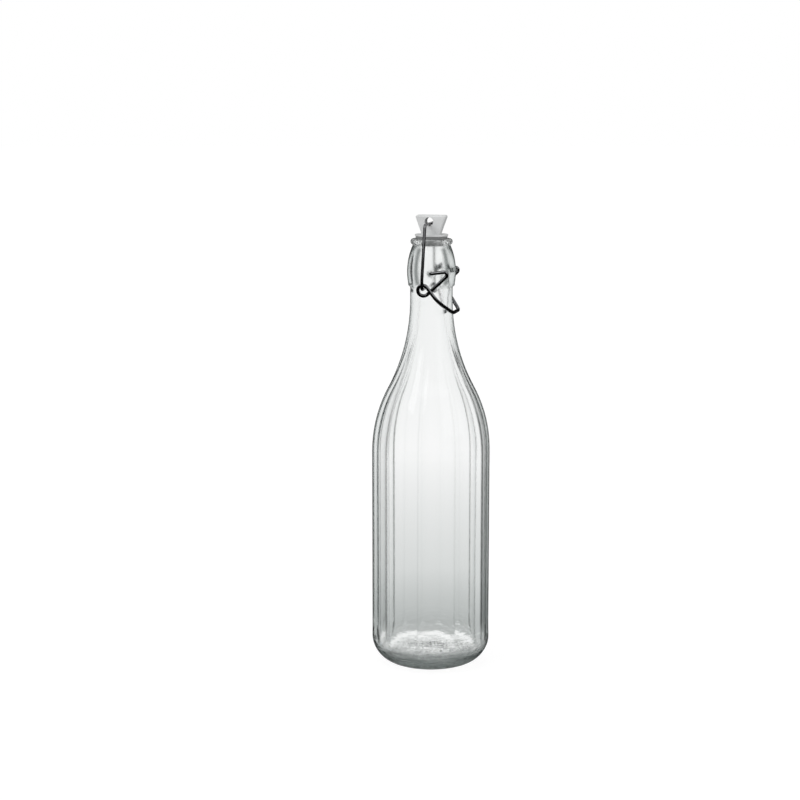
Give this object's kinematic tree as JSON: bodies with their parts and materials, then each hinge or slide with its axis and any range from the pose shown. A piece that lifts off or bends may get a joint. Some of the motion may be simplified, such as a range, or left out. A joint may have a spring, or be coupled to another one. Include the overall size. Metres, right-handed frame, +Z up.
{
  "type": "swing top bottle",
  "caption": "Clear faceted glass bottle with a long round shoulder and a barrel collar, closed by a light stopper with a rubber seal on a sprung wire bail and lever.",
  "frame": {"origin": "middle of the foot, on the plane that the bottle stands on", "axes": "+Z up along the bottle's axis, +X towards the lever's handle, Y along the closure's pivots"},
  "size_m": [0.0828, 0.0844, 0.3227],
  "materials": {
    "glass": "clear, polished",
    "lever_wire": "drawn steel wire, shiny",
    "bail_wire": "drawn steel wire, shiny",
    "seal": "soft, matte",
    "stopper": "smooth, slightly glossy"
  },
  "bodies": {
    "glass": {"bottle": "glass"},
    "lever": {"lever": "lever_wire"},
    "bail": {"bail": "bail_wire"},
    "stopper": {"stopper": "stopper", "gasket": "seal"}
  },
  "joints": [
    {"name": "lever_swing", "type": "hinge", "parent": "glass", "child": "lever", "pos_m": [0.003, 0, 0.283], "axis": [0, -1, 0], "range_deg": [0, 150], "deforming": ["gasket"]},
    {"name": "bail_swing", "type": "hinge", "parent": "lever", "child": "bail", "pos_m": [-0.0014, 0, 0.2724], "axis": [0, -1, 0], "range_deg": [-114, 0]},
    {"name": "stopper_tilt", "type": "hinge", "parent": "bail", "child": "stopper", "pos_m": [-0.001, 0, 0.3166], "axis": [0, -1, 0], "range_deg": [-24, 0]}
  ],
  "couplings": [
    {"joint": "bail_swing", "follows": "lever_swing", "ratio": -0.76},
    {"joint": "stopper_tilt", "follows": "lever_swing", "ratio": -0.16}
  ]
}
